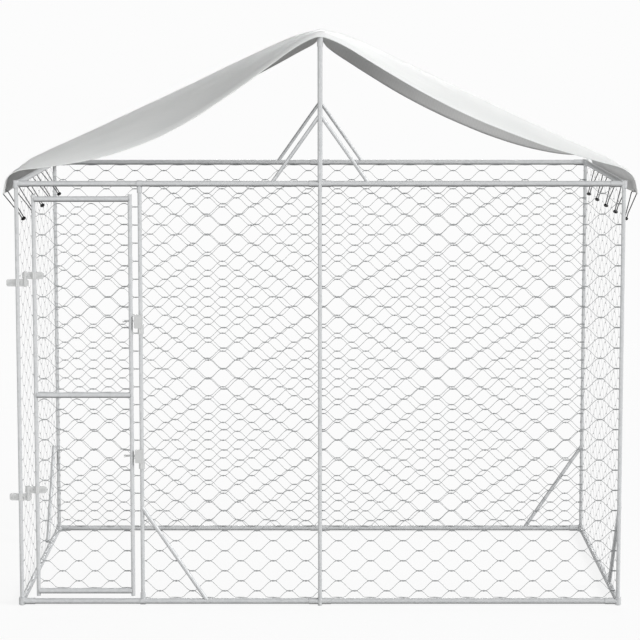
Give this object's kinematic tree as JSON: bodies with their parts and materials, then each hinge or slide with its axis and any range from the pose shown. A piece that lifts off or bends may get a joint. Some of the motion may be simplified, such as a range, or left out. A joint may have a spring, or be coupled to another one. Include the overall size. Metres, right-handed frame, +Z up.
{
  "type": "outdoor dog kennel run",
  "caption": "Walk-in outdoor dog run: galvanised tube frame with chain-link sides, a hinged door with slide bolts, and a gabled tarpaulin roof held down by ball bungees.",
  "frame": {"origin": "on the ground under the middle of the run", "axes": "+X to the right seen from the door side, +Y from the door side to the back, +Z up"},
  "size_m": [3.141, 1.62, 2.8753],
  "materials": {
    "galvanised_tube": "bright galvanised steel tube, satin",
    "zinc_steel": "zinc-plated pressed steel, matt grey",
    "net_wire": "galvanised chain-link wire",
    "tarpaulin": "pale grey woven polyethylene sheet with a coated face",
    "elastic_cord": "black braided elastic cord",
    "ball_plastic": "black moulded plastic",
    "cap_plastic": "grey moulded plastic"
  },
  "bodies": {
    "frame": {"post_front_left": "galvanised_tube", "post_front_right": "galvanised_tube", "post_back_left": "galvanised_tube", "post_back_right": "galvanised_tube", "post_front_centre": "galvanised_tube", "post_back_centre": "galvanised_tube", "latch_post": "galvanised_tube", "ridge_post_front": "galvanised_tube", "ridge_post_back": "galvanised_tube", "ridge_tube": "galvanised_tube", "ridge_caps": "ball_plastic", "ridge_saddles": "zinc_steel", "rail_front_low_left": "galvanised_tube", "rail_front_low_right": "galvanised_tube", "rail_back_low_left": "galvanised_tube", "rail_back_low_right": "galvanised_tube", "rail_left_low": "galvanised_tube", "rail_right_low": "galvanised_tube", "rail_front_top_left": "galvanised_tube", "rail_front_top_right": "galvanised_tube", "rail_back_top_left": "galvanised_tube", "rail_back_top_right": "galvanised_tube", "rail_left_top": "galvanised_tube", "rail_right_top": "galvanised_tube", "elbows_low": "galvanised_tube", "elbows_top": "galvanised_tube", "rail_couplers": "galvanised_tube", "latch_post_clamps": "galvanised_tube", "post_feet": "cap_plastic", "ridge_stays": "galvanised_tube", "foot_brace_front": "galvanised_tube", "foot_brace_back": "galvanised_tube", "foot_brace_left": "galvanised_tube", "foot_brace_right": "galvanised_tube", "net_front_left": "net_wire", "net_front_right": "net_wire", "net_back_left": "net_wire", "net_back_right": "net_wire", "net_left": "net_wire", "net_right": "net_wire", "roof_tarp": "tarpaulin", "tarp_eyelets": "zinc_steel", "bungee_cords": "elastic_cord", "bungee_balls": "ball_plastic", "hinge_post_straps": "zinc_steel", "hinge_pins": "zinc_steel", "post_strap_bolts": "zinc_steel", "latch_keepers": "zinc_steel"},
    "door": {"door_hinge_stile": "galvanised_tube", "door_latch_stile": "galvanised_tube", "door_top_rail": "galvanised_tube", "door_mid_rail": "galvanised_tube", "door_low_rail": "galvanised_tube", "door_net_upper": "net_wire", "door_net_lower": "net_wire", "stile_caps": "cap_plastic", "hinge_door_straps": "zinc_steel", "door_strap_bolts": "zinc_steel"},
    "upper_bolt": {"latch_bolt_upper": "zinc_steel"},
    "lower_bolt": {"latch_bolt_lower": "zinc_steel"}
  },
  "joints": [
    {"name": "door_hinge", "type": "hinge", "parent": "frame", "child": "door", "pos_m": [-1.461, -0.75, 1.654], "axis": [0, 0, -1], "range_deg": [0, 115]},
    {"name": "upper_bolt_slide", "type": "slide", "parent": "door", "child": "upper_bolt", "axis": [1, 0, 0], "range_m": [0, 0.018]},
    {"name": "lower_bolt_slide", "type": "slide", "parent": "door", "child": "lower_bolt", "axis": [1, 0, 0], "range_m": [0, 0.018]}
  ]
}
